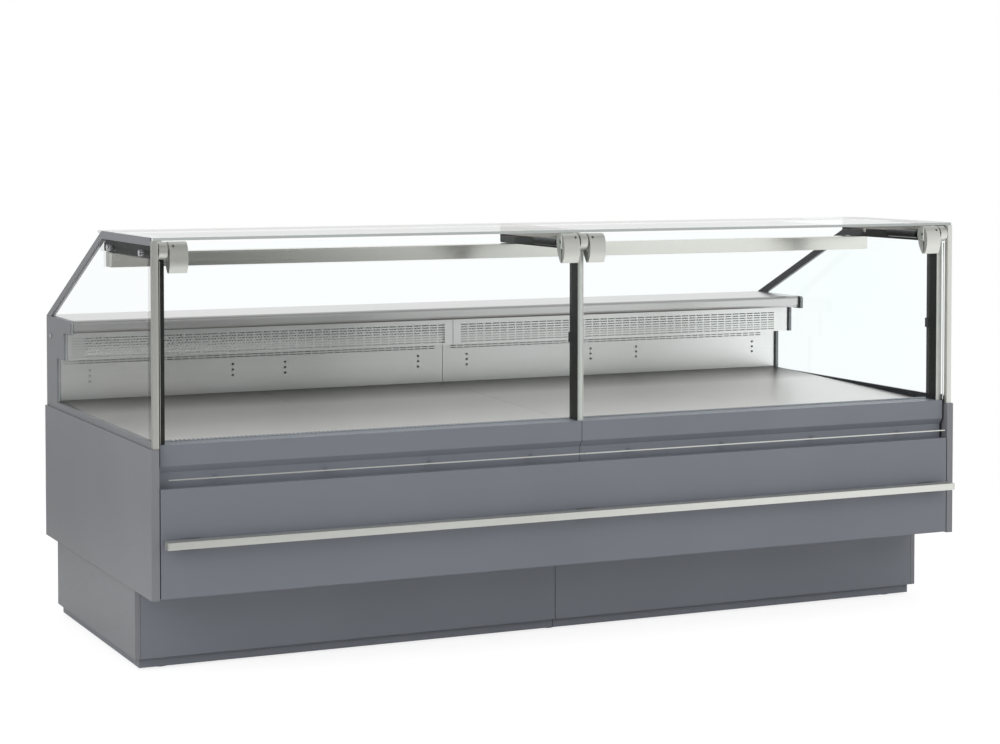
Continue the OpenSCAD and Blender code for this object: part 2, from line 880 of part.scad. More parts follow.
// A knuckle whose near face is at x, forked where the rod of a spring cylinder enters,
// with a set screw hole at screw_x that opens to the front
module knuckle(x, forked, screw_x) {
  difference() {
    union() {
      difference() {
        along_x(x, x + knuckle_w) knuckle_outline();
        if (forked)
          span([x + cheek_w, x + knuckle_w - cheek_w], [fork_y, fork_y + 2 * knuckle_r],
               [knuckle_low - 1, hinge_z + 2 * knuckle_r]);
      }
      if (forked) rod_x(x + 4, x + knuckle_w - 4, crank_y, crank_z, crank_pin_r);
    }
    rod_x(x - 1, x + knuckle_w + 1, hinge_y, hinge_z, pin_r + run_fit);
    span([x - 1, x + knuckle_w + 1], [glass_y, glass_y + glass_t], [knuckle_low - 1, grip_top]);
    rod_y(screw_x, hinge_y - knuckle_r - 4, hinge_y - pin_r - 4, screw_z, screw_r);
  }
}

module glass_hinges_right() {
  color(alu) {
    knuckle(knuckle_a, false, knuckle_a + screw_in);
    knuckle(knuckle_b, true, knuckle_b + knuckle_w - screw_in);
  }
}

module glass_hinges_left() {
  color(alu) mirror([1, 0, 0]) {
    knuckle(knuckle_a, true, knuckle_a + screw_in);
    knuckle(knuckle_b, false, knuckle_b + knuckle_w - screw_in);
  }
}

module hinge_block(x, pin_left, pin_right) {
  reach = knuckle_gap + cheek_w - 1;
  rod_x(x - block_w / 2, x + block_w / 2, hinge_y, hinge_z, block_r);
  span([x - post_w / 2, x + post_w / 2], [hinge_y, arm_front], [arm_low, arm_top]);
  rod_x(x - block_w / 2 - pin_left * reach, x + block_w / 2 + pin_right * reach,
        hinge_y, hinge_z, pin_r);
}

module hinge_blocks() {
  color(alu) {
    hinge_block(-post_x, 0, 1);
    hinge_block(0, 1, 1);
    hinge_block(post_x, 1, 0);
  }
}

module lift_cylinder(x, arm_x) {
  y1 = lift_y + lift_len;
  arm_side = arm_x - post_w / 2;
  difference() {
    union() {
      rod_y(x, lift_y, y1, rod_z, lift_r);
      span([x, arm_side], [y1 - mount_in - mount_len, y1 - mount_in], [rod_z - 10, rod_z - 2]);
    }
    rod_y(x, lift_y + lift_wall, y1 - lift_wall, rod_z, lift_r - lift_wall);
    rod_y(x, lift_y - 1, lift_y + lift_wall + 1, rod_z, rod_r + run_fit);
  }
  rod_y(x, y1, y1 + lift_ring, rod_z, lift_r - 3);
}

module lift_cylinders() {
  color(black) {
    lift_cylinder(lift_xs[0], 0);
    lift_cylinder(lift_xs[1], post_x);
  }
}

// A rod with its piston and, at the front, the slotted yoke that takes the crank pin
module lift_rod(x) {
  front = crank_y - yoke_slot - yoke_wall;
  back = crank_y + yoke_slot + yoke_wall + 4;
  lift = crank_r * (1 - cos(crank_rest)) / 2 + yoke_slot;
  color(chrome) {
    difference() {
      union() {
        span([x - yoke_w / 2, x + yoke_w / 2], [front, back],
             [slot_z - lift - yoke_wall, slot_z + lift + yoke_wall]);
        span([x - yoke_w / 2, x + yoke_w / 2], [crank_y + yoke_slot, back],
             [slot_z, rod_z + rod_r]);
      }
      span([x - yoke_w / 2 - 1, x + yoke_w / 2 + 1], [crank_y - yoke_slot, crank_y + yoke_slot],
           [slot_z - lift, slot_z + lift]);
    }
    rod_y(x, back, lift_y + lift_len / 2, rod_z, rod_r);
    rod_y(x, lift_y + lift_len / 2, lift_y + lift_len / 2 + piston_t, rod_z,
          lift_r - lift_wall - run_fit);
  }
}

module lift_rod_left() { lift_rod(lift_xs[0]); }
module lift_rod_right() { lift_rod(lift_xs[1]); }

// Interior

module deck_tray(i) {
  x0 = -half_body + i * tray_w + 0.5;
  x1 = x0 + tray_w - 1;
  back = wall_y - 1;
  color(steel) difference() {
    along_x(x0, x1) polygon([
      [deck_front, deck_at(deck_front)], [back, deck_at(back)], [back, deck_at(back) - liner],
      [deck_front + liner, deck_at(deck_front + liner) - liner],
      [deck_front + liner, deck_at(deck_front) - tray_lip],
      [deck_front, deck_at(deck_front) - tray_lip]
    ]);
    rod_z((x0 + x1) / 2, finger_y, deck_z - 60, deck_z + 1, finger_r);
  }
}

module deck_tray_1() { deck_tray(0); }
module deck_tray_2() { deck_tray(1); }
module deck_tray_3() { deck_tray(2); }
module deck_tray_4() { deck_tray(3); }

module tray_bearers() {
  y0 = deck_front + liner + 1;
  y1 = wall_y - 1;
  color(steel) for (i = [0 : trays]) {
    x = min(max(-half_body + i * tray_w, -half_body + bearer / 2), half_body - bearer / 2);
    along_x(x - bearer / 2, x + bearer / 2) polygon([
      [y0, tank_floor], [y0, deck_at(y0) - liner], [y1, deck_at(y1) - liner], [y1, tank_floor],
      [y1 - bearer, tank_floor], [y1 - bearer, deck_at(y1) - liner - bearer],
      [y0 + bearer, deck_at(y0) - liner - bearer], [y0 + bearer, tank_floor]
    ]);
  }
}

// A strip whose free edge is a comb of slots, for the air that returns under the ledge
module air_return_grille() {
  y0 = post_y + post_d + 1;
  count = floor(2 * comb_half / comb_pitch);
  start = -count * comb_pitch / 2;
  color(paint) translate([0, front_y, ledge_z]) linear_extrude(comb_t) polygon(concat(
    [[-fascia_half, y0], [fascia_half, y0], [fascia_half, comb_back]],
    [for (i = [count - 1 : -1 : 0]) let (x = start + i * comb_pitch) each [
      [x + comb_slot, comb_back], [x + comb_slot, ledge_back],
      [x, ledge_back], [x, comb_back]
    ]],
    [[-fascia_half, comb_back]]
  ));
}

// The slotted area of a grille or wall, as a flat pattern
module slot_field(x0, x1, z0, pitch, length, height, rows, row_pitch) {
  count = floor((x1 - x0 + pitch - length) / pitch);
  for (i = [0 : count - 1], j = [0 : rows - 1])
    translate([x0 + i * pitch, z0 + j * row_pitch]) square([length, height]);
}

module rear_wall() {
  z0 = deck_z - 4;
  hole = 8;
  slot_z = grille_low - 20;
  color(steel) {
    along_y(wall_y, wall_y + liner) difference() {
      translate([seam / 2, z0]) square([inner_half - seam / 2, grille_low - z0]);
      slot_field(28, half_body - 28, slot_z, wall_pitch, 19.5, 2.6, 2, 7);
      for (x = [hole_col, module_len / 2 - hole_col, module_len / 2 + hole_col, module_len - hole_col],
           k = [0 : 2])
        translate([x - hole / 2, slot_z - 24 - 17 * k]) square([hole, 6]);
    }
    for (x = [spacer_in, module_len / 2, module_len - spacer_in])
      span([x - 1, x + 1], [wall_y + liner, tank_rear_in], [z0 + 5, grille_low - 35]);
  }
}

module rear_walls() { both_ends() rear_wall(); }

module air_grille() {
  top = worktop_z - 2;
  color(steel) {
    along_y(grille_y, grille_y + liner) difference() {
      translate([seam / 2, grille_low]) square([inner_half - seam / 2, top - grille_low]);
      slot_field(28, half_body - 24, grille_low + 7, slot_pitch, slot_len, slot_h, slot_rows, 7.8);
    }
    span([seam / 2, inner_half], [grille_y + liner, wall_y + liner], [grille_low, grille_low + liner]);
    span([seam / 2, inner_half], [grille_y + liner, grille_y + 20], [top - liner, top]);
  }
}

module air_grilles() { both_ends() air_grille(); }

// Outline of the worktop's nose, shrunk by s, with rounded front edges
module nose_outline(s, back) {
  r = nose_r - s;
  y = worktop_y + s;
  top = worktop_z - s;
  low = nose_low + s;
  translate([y + r, top - r]) circle(r);
  translate([y + r, low + r]) circle(r);
  translate([y, low + r]) square([r, top - low - 2 * r]);
  translate([y + r, low]) square([back - y - r, top - low]);
}

module worktop() {
  t = 2;
  lip = 34;
  color(steel) along_x(-inner_half, inner_half) {
    difference() {
      nose_outline(0, worktop_y + lip);
      nose_outline(t, worktop_y + lip + 1);
    }
    translate([worktop_y + lip, worktop_z - t]) square([worktop_back - worktop_y - lip, t]);
    translate([worktop_back - t, nose_low]) square([t, nose_h]);
  }
}

// Service side

module rear_panel() {
  half = half_body - 0.5;
  y = [tank_back, tank_back + panel_fold];
  z = [body_low + 3, worktop_z - 6];
  color(paint) difference() {
    span([-half, half], y, z);
    difference() {
      span([-half + sheet, half - sheet], [y[0] - 1, y[1] - sheet], [z[0] + sheet, z[1] - sheet]);
      span([box_x - box_w / 2 - 4, box_x + box_w / 2 + 4], y, [box_z - box_h / 2 - 4, box_z + box_h / 2 + 4]);
    }
    span([box_x - box_w / 2 - touch, box_x + box_w / 2 + touch], [y[0] - 1, y[1] + 1],
         [box_z - box_h / 2 - touch, box_z + box_h / 2 + touch]);
  }
}

module control_box() {
  y1 = tank_back + 9;
  color(plastic) difference() {
    span([box_x - box_w / 2, box_x + box_w / 2], [tank_back, y1],
         [box_z - box_h / 2, box_z + box_h / 2]);
    span([switch_x - 11, switch_x + 11], [y1 - 6, y1 + 1], [box_z - 16, box_z + 16]);
    rod_y(knob_x, y1 - 7, y1 + 1, box_z, 3 + run_fit);
    rod_y(box_x, tank_back - 1, y1 + 1, box_z - box_h / 2 + 14, gland_r);
  }
  color(chrome) rod_x(switch_x - 11, switch_x + 11, y1, box_z, 1.5);
}

// The rocker is drawn switched off, tilted about its pivot
module lamp_switch() {
  y1 = tank_back + 9;
  w = 10.6;
  color(black) translate([switch_x, front_y + y1, box_z]) rotate([rocker_tilt, 0, 0]) difference() {
    intersection() {
      translate([-w, -38, 0]) rotate([0, 90, 0]) cylinder(r = 43, h = 2 * w);
      translate([-w, -2.5, -14]) cube([2 * w, 8.5, 28]);
    }
    translate([-w - 1, 0, 0]) rotate([0, 90, 0]) cylinder(r = 1.5 + run_fit, h = 2 * w + 2);
  }
}

module thermostat_knob() {
  y1 = tank_back + 9;
  color(black) {
    rod_y(knob_x, y1 - 6, y1 + touch, box_z, 3);
    difference() {
      rod_y(knob_x, y1 + touch, y1 + 12, box_z, dial_r);
      for (s = [-1, 1])
        translate([s * (dial_r / 2 + 5), 0, 0])
          span([knob_x - dial_r / 2, knob_x + dial_r / 2], [y1 + 4, y1 + 13],
               [box_z - dial_r - 1, box_z + dial_r + 1]);
    }
  }
}

// Machinery under the deck

module evaporator_coil() {
  rows = [0.3, 0.7];
  cols = [0.17, 0.5, 0.83];
  color(steel) {
    for (i = [0 : fins - 1]) {
      x = -coil_half + i * (2 * coil_half - fin_t) / (fins - 1);
      low = (i == 0 || i == fins - 1) ? tank_floor : coil_low;
      span([x, x + fin_t], [coil_y, coil_y + coil_d], [low, coil_low + coil_h]);
    }
    for (a = cols, b = rows)
      rod_x(-coil_half, coil_half, coil_y + a * coil_d, coil_low + b * coil_h, coil_tube_r);
  }
}

module fan_plate() {
  half = half_body - 1;
  top = deck_at(fan_y) - liner - bearer - 2;
  y = [fan_y, fan_y + fan_plate_t];
  color(steel) difference() {
    span([-half, half], y, [tank_floor, top]);
    for (x = [-fan_x, fan_x]) rod_y(x, y[0] - 1, y[1] + 1, fan_z, fan_r);
  }
}

// Each motor hangs in the middle of its opening on three arms that lie against the plate
module fan_motors() {
  arm_t = 4;
  arm_len = fan_r + 8;
  color(black) for (x = [-fan_x, fan_x]) {
    rod_y(x, fan_y - motor_len, fan_y, fan_z, motor_r);
    rod_y(x, fan_y, fan_y + fan_shaft_len, fan_z, fan_shaft_r);
    for (a = [90, 210, 330])
      translate([x, front_y + fan_y - arm_t, fan_z]) rotate([0, a, 0])
        translate([0, 0, -5]) cube([arm_len, arm_t, 10]);
  }
}

module fan_rotor(x) {
  y0 = fan_y + fan_plate_t + 3;
  hub_len = 26;
  color(black) difference() {
    union() {
      rod_y(x, y0, y0 + hub_len, fan_z, hub_r);
      for (a = [0 : 72 : 288])
        translate([x, front_y + y0 + hub_len / 2, fan_z]) rotate([0, a, 0]) rotate([35, 0, 0])
          translate([hub_r - 4, -1.5, -14]) cube([fan_r - hub_r - 2, 3, 28]);
    }
    rod_y(x, y0 - 1, y0 + hub_len + 1, fan_z, fan_shaft_r + run_fit);
  }
}

module fan_rotor_left() { fan_rotor(-fan_x); }
module fan_rotor_right() { fan_rotor(fan_x); }

module drain_pipe() {
  wall = 2.5;
  spigot_r = drain_r - drain_step;
  color(plastic) difference() {
    union() {
      rod_z(drain_x, drain_y, pipe_end, tank_floor, spigot_r);
      rod_z(drain_x, drain_y, pipe_end + spigot_len, tank_floor, drain_r);
      rod_z(drain_x, drain_y, tank_floor, tank_floor + wall, drain_r + 12);
    }
    rod_z(drain_x, drain_y, pipe_end - 1, tank_floor + wall + 1, spigot_r - wall);
  }
}

// An upright line that turns to the coil, with an open lower end
module line(y, r) {
  difference() {
    union() {
      rod_z(line_x, y, pipe_end, line_top, r);
      translate([line_x, front_y + y, line_top]) sphere(r = r);
      rod_x(coil_half, line_x, y, line_top, r);
    }
    rod_z(line_x, y, pipe_end - 1, pipe_end + socket_len, r - line_wall);
  }
}

module refrigerant_lines() {
  color(copper) {
    line(line_y[0], suction_r);
    line(line_y[1], liquid_r);
  }
}

base_frame();
levelling_feet();
kick_plates();
base_sides();
plinth_skirts();
insulated_tank();
front_panel();
upper_fascias();
fascia_end_gaskets();
trim_strips();
bumper_rail();
bumper_end_caps();
bumper_brackets();
end_panel_left();
end_panel_right();
end_wall_left();
end_wall_right();
end_frames();
front_stiles();
end_glass_left();
end_glass_right();
glass_clamp_bars();
glass_knobs();
canopy_posts();
post_front_strips();
canopy_arms();
canopy_rails();
top_glass();
end_linings();
lamp_housing();
lamp_diffuser();
led_strip();
front_glass_left();
front_glass_right();
glass_hinges_left();
glass_hinges_right();
hinge_blocks();
lift_cylinders();
lift_rod_left();
lift_rod_right();
deck_tray_1();
deck_tray_2();
deck_tray_3();
deck_tray_4();
tray_bearers();
air_return_grille();
rear_walls();
air_grilles();
worktop();
rear_panel();
evaporator_coil();
fan_plate();
fan_motors();
fan_rotor_left();
fan_rotor_right();
drain_pipe();
refrigerant_lines();
control_box();
lamp_switch();
thermostat_knob();
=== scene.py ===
import json
import math

import bpy
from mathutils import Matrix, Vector


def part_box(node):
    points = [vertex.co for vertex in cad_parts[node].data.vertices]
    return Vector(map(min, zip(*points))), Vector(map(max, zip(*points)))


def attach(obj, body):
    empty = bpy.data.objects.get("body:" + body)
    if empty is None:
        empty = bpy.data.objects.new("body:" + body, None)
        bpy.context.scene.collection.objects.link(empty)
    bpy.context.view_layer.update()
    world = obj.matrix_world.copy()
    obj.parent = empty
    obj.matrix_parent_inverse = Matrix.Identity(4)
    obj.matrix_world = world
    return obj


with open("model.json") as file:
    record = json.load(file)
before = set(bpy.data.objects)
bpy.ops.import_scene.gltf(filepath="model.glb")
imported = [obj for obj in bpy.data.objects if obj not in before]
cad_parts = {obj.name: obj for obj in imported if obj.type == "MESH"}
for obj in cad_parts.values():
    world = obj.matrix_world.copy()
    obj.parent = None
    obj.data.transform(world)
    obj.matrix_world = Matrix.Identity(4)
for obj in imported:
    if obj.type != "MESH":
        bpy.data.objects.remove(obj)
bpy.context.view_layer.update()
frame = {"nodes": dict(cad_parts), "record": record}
nodes = frame["nodes"]
slotOf = {s["node"]: s["material_slot"] for s in frame["record"]["subparts"]}
print("frame loaded:", len(nodes), "pieces")

# Depths are given as in the drawing, in millimetres behind the face of the front panel
frontFace = -542.5


def place(x, depth, z):
    return Vector((x / 1000, (frontFace + depth) / 1000, z / 1000))


# Camera: level eye height, turned to the right, verticals kept nearly upright by the shift
cameraSet = {
    "place": (-2.9984, -6.4245, 1.4539),
    "pitch": -2.1716,
    "yaw": 24.9183,
    "lens": 83.78,
    "shift": -0.15,
}
cameraData = bpy.data.cameras.new("camera")
camera = bpy.data.objects.new("camera", cameraData)
bpy.context.scene.collection.objects.link(camera)
camera.location = cameraSet["place"]
camera.rotation_euler = (
    math.radians(90 + cameraSet["pitch"]), 0, -math.radians(cameraSet["yaw"]))
cameraData.sensor_width = 36
cameraData.lens = cameraSet["lens"]
cameraData.shift_y = cameraSet["shift"]
cameraData.clip_start, cameraData.clip_end = 0.05, 200
bpy.context.scene.camera = camera
bpy.context.scene.view_settings.view_transform = "Standard"


def linear(hexColour):
    values = [int(hexColour[i:i + 2], 16) / 255 for i in (1, 3, 5)]
    return [v / 12.92 if v <= 0.04045 else ((v + 0.055) / 1.055) ** 2.4 for v in values] + [1.0]


def addNode(tree, kind, inputs=None, **settings):
    made = tree.nodes.new(kind)
    for name, value in settings.items():
        setattr(made, name, value)
    for key, value in (inputs or {}).items():
        socket = made.inputs[key]
        if isinstance(value, bpy.types.NodeSocket):
            tree.links.new(value, socket)
        else:
            socket.default_value = value
    return made


def mathOf(tree, first, second, operation):
    return addNode(tree, "ShaderNodeMath", {0: first, 1: second}, operation=operation).outputs[0]


def product(tree, first, second):
    return mathOf(tree, first, second, "MULTIPLY")


def part(tree, vector, axis):
    return addNode(tree, "ShaderNodeSeparateXYZ", {0: vector}).outputs[axis]


def newMaterial(name):
    material = bpy.data.materials.new(name)
    material.use_nodes = True
    tree = material.node_tree
    tree.nodes.clear()
    shader = addNode(tree, "ShaderNodeBsdfPrincipled")
    addNode(tree, "ShaderNodeOutputMaterial", {"Surface": shader.outputs["BSDF"]})
    coords = addNode(tree, "ShaderNodeTexCoord")
    return material, tree, shader, coords.outputs["Object"]


def tint(tree, pattern, low, high, hexLow, hexHigh):
    return addNode(tree, "ShaderNodeMix", {
        0: addNode(tree, "ShaderNodeMapRange", {"Value": pattern, 1: low, 2: high}).outputs[0],
        6: linear(hexLow), 7: linear(hexHigh)}, data_type="RGBA").outputs[2]


def spread(tree, pattern, low, high, outLow, outHigh):
    return addNode(tree, "ShaderNodeMapRange", {
        "Value": pattern, 1: low, 2: high, 3: outLow, 4: outHigh}).outputs[0]


def grey(tree, level):
    return addNode(tree, "ShaderNodeCombineColor", {0: level, 1: level, 2: level}).outputs[0]


def shaded(tree, colour, level):
    return addNode(tree, "ShaderNodeMix", {
        0: 1.0, 6: colour, 7: grey(tree, level)}, data_type="RGBA", blend_type="MULTIPLY").outputs[2]


def bumped(tree, shader, height, strength, distance):
    bump = addNode(tree, "ShaderNodeBump", {
        "Strength": strength, "Distance": distance, "Height": height})
    tree.links.new(bump.outputs[0], shader.inputs["Normal"])


def noise(tree, vector, scale, detail):
    return addNode(tree, "ShaderNodeTexNoise", {
        "Vector": vector, "Scale": scale, "Detail": detail}).outputs[0]


def powderCoat(name, hexLow, hexHigh, roughness, shadeToFloor=0.0):
    # baked polyester powder: even colour, a soft sheen and a fine orange peel, 5 mm wide to show
    material, tree, shader, coords = newMaterial(name)
    peel = noise(tree, coords, 220.0, 2.0)
    colour = tint(tree, noise(tree, coords, 2.5, 3.0), 0.3, 0.7, hexLow, hexHigh)
    if shadeToFloor:   # painted shade: a little darker towards the floor, as in the photo
        shadedBelow = 0.62
        level = spread(tree, part(tree, coords, 2), 0.0, shadedBelow, 1 - shadeToFloor, 1.0)
        colour = shaded(tree, colour, level)
    tree.links.new(colour, shader.inputs["Base Color"])
    tree.links.new(spread(tree, peel, 0.3, 0.7, roughness - 0.04, roughness + 0.04),
                   shader.inputs["Roughness"])
    bumped(tree, shader, peel, 0.12, 0.0004)
    return material


def brushedMetal(name, hexLow, hexHigh, roughness, grain=(1.5, 260.0, 260.0), depth=0.0002,
                 rearShade=None):
    # ground or brushed along its length: long fine lines that blur reflections across them
    material, tree, shader, coords = newMaterial(name)
    stretched = addNode(tree, "ShaderNodeMapping", {"Vector": coords, "Scale": grain})
    lines = addNode(tree, "ShaderNodeTexNoise", {
        "Vector": stretched.outputs[0], "Scale": 1.0, "Detail": 4.0, "Roughness": 0.65}).outputs[0]
    cloud = noise(tree, coords, 1.6, 2.0)
    both = mathOf(tree, product(tree, lines, 0.6), product(tree, cloud, 0.4), "ADD")
    colour = tint(tree, both, 0.35, 0.65, hexLow, hexHigh)
    # a guess that matches the photo, where the rear of the deck is dark: duller there
    if rearShade:   # painted shade, matched to the photo where the rear of the deck is dark: darker colour and grazing reflection there
        level = spread(tree, part(tree, coords, 1), rearShade["from"], rearShade["to"], rearShade["least"], 1.0)
        colour = shaded(tree, colour, level)
        tree.links.new(grey(tree, level), shader.inputs["Specular Tint"])
    tree.links.new(colour, shader.inputs["Base Color"])
    tree.links.new(spread(tree, lines, 0.3, 0.7, roughness - 0.03, roughness + 0.03),
                   shader.inputs["Roughness"])
    bumped(tree, shader, lines, 0.04, depth)
    shader.inputs["Metallic"].default_value = 1.0
    return material


def smoothMetal(name, hexColour, roughness):
    # polished, plated or drawn: clean reflections with faint wipe marks
    material, tree, shader, coords = newMaterial(name)
    wiped = noise(tree, coords, 60.0, 3.0)
    tree.links.new(spread(tree, wiped, 0.3, 0.7, roughness, roughness + 0.08),
                   shader.inputs["Roughness"])
    shader.inputs["Base Color"].default_value = linear(hexColour)
    shader.inputs["Metallic"].default_value = 1.0
    return material


def satinMetal(name, hexLow, hexHigh, roughness):
    # bead-blasted and anodised aluminium: even, with a grain too fine to have a direction
    material, tree, shader, coords = newMaterial(name)
    grain = noise(tree, coords, 1400.0, 2.0)
    cloud = noise(tree, coords, 9.0, 2.0)
    tree.links.new(tint(tree, cloud, 0.3, 0.7, hexLow, hexHigh), shader.inputs["Base Color"])
    tree.links.new(spread(tree, grain, 0.3, 0.7, roughness - 0.03, roughness + 0.05),
                   shader.inputs["Roughness"])
    bumped(tree, shader, grain, 0.08, 0.0001)
    shader.inputs["Metallic"].default_value = 1.0
    return material


def plastic(name, hexLow, hexHigh, roughness, grain=900.0):
    # moulded ABS or rubber: an even dark body with the fine grain of the mould
    material, tree, shader, coords = newMaterial(name)
    skin = noise(tree, coords, grain, 2.0)
    tree.links.new(tint(tree, skin, 0.3, 0.7, hexLow, hexHigh), shader.inputs["Base Color"])
    bumped(tree, shader, skin, 0.1, 0.0002)
    shader.inputs["Roughness"].default_value = roughness
    return material


def clearGlass(name, hexLow, hexHigh):
    # toughened float glass: seen through straight on, mirror-like only where the eye grazes it
    material, tree, shader, coords = newMaterial(name)
    shade = tint(tree, noise(tree, coords, 1.5, 2.0), 0.3, 0.7, hexLow, hexHigh)
    tree.links.new(shade, shader.inputs["Base Color"])
    shader.inputs["Roughness"].default_value = 0.0
    shader.inputs["Transmission Weight"].default_value = 1.0
    shader.inputs["IOR"].default_value = 1.2
    mirror = addNode(tree, "ShaderNodeFresnel", {"IOR": 1.4}).outputs[0]
    leaving = addNode(tree, "ShaderNodeNewGeometry").outputs["Backfacing"]
    inside = mathOf(tree, mathOf(tree, 1.0, mirror, "SUBTRACT"), leaving, "MAXIMUM")
    path = addNode(tree, "ShaderNodeLightPath")   # lamps shine through the panes onto what is inside
    through = mathOf(tree, path.outputs["Is Shadow Ray"], inside, "MAXIMUM")
    clear = addNode(tree, "ShaderNodeBsdfTransparent", {"Color": shade})
    pane = addNode(tree, "ShaderNodeMixShader", {
        0: through, 1: shader.outputs[0], 2: clear.outputs[0]})
    output = next(n for n in tree.nodes if n.type == "OUTPUT_MATERIAL")
    tree.links.new(pane.outputs[0], output.inputs["Surface"])
    return material


finishes = {
    # the two grey paints carry painted shade, darker towards the floor
    "grey_paint": powderCoat("greyPowderCoat", "#73777F", "#777B83", 0.42, shadeToFloor=0.08),
    "side_paint": powderCoat("sideGreyPowderCoat", "#7B7C80", "#7F8084", 0.44, shadeToFloor=0.07),
    "black_paint": powderCoat("blackPowderCoat", "#1D1D1C", "#21211F", 0.42),
    "stainless": brushedMetal("brushedStainlessSteel", "#F9F7F5", "#FEFCFA", 0.32),
    "galvanised": brushedMetal("galvanisedSteel", "#9A9FA2", "#AEB3B6", 0.5, grain=(30.0,) * 3),
    "aluminium": brushedMetal("anodisedAluminium", "#E6E3DC", "#ECE9E2", 0.22, depth=0.0001),
    "bright_trim": smoothMetal("polishedChromePlate", "#DFE1E3", 0.08),
    "clear_glass": clearGlass("toughenedClearGlass", "#FDFFFF", "#FEFFFF"),
    # painted light and shade: lit, shaded and framed tones of one ground glass edge
    "dark_edge": plastic("groundGlassEdgeInShade", "#A9AFAD", "#B1B7B5", 0.4),
    "pale_edge": plastic("groundGlassEdge", "#D8D9D4", "#E0E1DC", 0.4),
    "framed_edge": plastic("groundGlassEdgeInFrame", "#86898B", "#8E9193", 0.4),
    "insulation": plastic("paleTankLiner", "#D9D9D5", "#E0E0DC", 0.5),
    "black_plastic": plastic("blackMouldedNylon", "#1B1B1B", "#202020", 0.48),
    "grey_plastic": plastic("greyMouldedAbs", "#4B4D50", "#505255", 0.5),
    "gasket_rubber": plastic("extrudedGasketRubber", "#26282B", "#2B2D30", 0.6),
    "copper": smoothMetal("drawnCopperTube", "#C07A55", 0.28),
    "opal_plastic": plastic("opalAcrylic", "#EDEDEA", "#F2F2EF", 0.25),
}
# Pieces whose finish differs from the rest of their material
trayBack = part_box("deck_tray_1")[1][1]
ownFinishes = [
    (("glass_hinges_left", "glass_hinges_right", "hinge_blocks"),
     satinMetal("blastedAluminium", "#E5E6E0", "#EBECE6", 0.46)),
    (("front_stiles", "post_front_strips"),
     brushedMetal("uprightBrushedAluminium", "#E4E4DF", "#EAEAE5", 0.46,
                  grain=(320.0, 320.0, 1.5))),
    (("bumper_rail", "bumper_end_caps", "trim_strips"),
     brushedMetal("drawnAluminium", "#E1E2DC", "#E7E8E2", 0.4)),
    # the trays carry painted shade, darker in colour and reflection towards the rear of the deck
    (("deck_tray_1", "deck_tray_2", "deck_tray_3", "deck_tray_4"),
     brushedMetal("trayStainlessSteel", "#EEEBE9", "#F4F1EF", 0.36, rearShade={
         "from": trayBack, "to": trayBack - 0.32, "least": 0.3})),
    (("lift_cylinders",), powderCoat("glossBlackPaint", "#171716", "#1B1B19", 0.3)),
    (("worktop",), brushedMetal("groundStainlessSteel", "#DAD7D6", "#E0DDDC", 0.3)),
]
ownFinish = {nodeName: finish for names, finish in ownFinishes for nodeName in names}
for nodeName, node in nodes.items():
    node.data.materials.clear()
    node.data.materials.append(ownFinish.get(nodeName, finishes[slotOf[nodeName]]))
print("materials made:", len(finishes))

# Ground edges of the panes, coloured by the way that they face: painted light and shade for the light
# inside the glass, pale where lit, darker on the front of the top pane and grey on the edges of the end
# panes
groundEdges = [
    ("top_glass", "dark_edge", lambda way: way.y < -0.5),
    ("top_glass", "pale_edge", lambda way: max(abs(way.x), way.y) > 0.5),
    ("front_glass_left", "pale_edge", lambda way: abs(way.x) > 0.5),
    ("front_glass_right", "pale_edge", lambda way: abs(way.x) > 0.5),
    ("end_glass_left", "framed_edge", lambda way: abs(way.x) < 0.5),
    ("end_glass_right", "framed_edge", lambda way: abs(way.x) < 0.5),
]
for nodeName, finishName, faced in groundEdges:
    mesh = nodes[nodeName].data
    mesh.materials.append(finishes[finishName])
    for face in mesh.polygons:
        if faced(face.normal):
            face.material_index = len(mesh.materials) - 1

# The ring at the rear end of each spring cylinder is plated
cylinders = nodes["lift_cylinders"]
cylinders.data.materials.append(finishes["bright_trim"])
ringLength = 0.0055
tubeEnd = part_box("lift_cylinders")[1][1] - ringLength
for face in cylinders.data.polygons:
    if min(cylinders.data.vertices[v].co.y for v in face.vertices) > tubeEnd:
        face.material_index = 1

# The seam between the modules is dark in the photo: the front of the tank is given dark rubber, painted
# shade seen through the seam. The seam between the modules is dark in the photo: tape on the front of
# the tank is a guess
tank = nodes["insulated_tank"]
tank.data.materials.append(finishes["gasket_rubber"])
frontFaceSlack = 0.001
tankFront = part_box("insulated_tank")[0][1] + frontFaceSlack
for face in tank.data.polygons:
    if max(tank.data.vertices[v].co.y for v in face.vertices) < tankFront:
        face.material_index = 1

# Folded and cut edges catch the light: the bevel widths are in millimetres
edgeBreaks = {
    "front_panel": 0.8, "upper_fascias": 0.7, "kick_plates": 0.7, "base_sides": 1.0,
    "plinth_skirts": 1.0, "end_panel_left": 0.8, "end_panel_right": 0.8,
    "end_wall_left": 1.0, "end_wall_right": 1.0, "end_frames": 0.8, "front_stiles": 1.2,
    "bumper_rail": 0.5, "bumper_end_caps": 1.2, "bumper_brackets": 1.0,
    "canopy_posts": 1.0, "canopy_arms": 1.0, "canopy_rails": 0.8, "lamp_housing": 1.0,
    "glass_hinges_left": 0.7, "glass_hinges_right": 0.7, "hinge_blocks": 0.8,
    "lift_cylinders": 1.0, "front_glass_left": 0.8, "front_glass_right": 0.8,
    "end_glass_left": 0.8, "end_glass_right": 0.8, "top_glass": 0.8,
    "glass_knobs": 0.8, "glass_clamp_bars": 0.8,
    "worktop": 0.4, "control_box": 0.8, "lamp_switch": 0.6, "thermostat_knob": 0.8,
    "rear_panel": 0.7, "deck_tray_1": 0.4, "deck_tray_2": 0.4, "deck_tray_3": 0.4,
    "deck_tray_4": 0.4, "levelling_feet": 0.8, "fan_motors": 0.8,
}


breaking = {"weld": 0.00001, "flatBelow": 0.5, "sharpFrom": 35, "segments": 2}


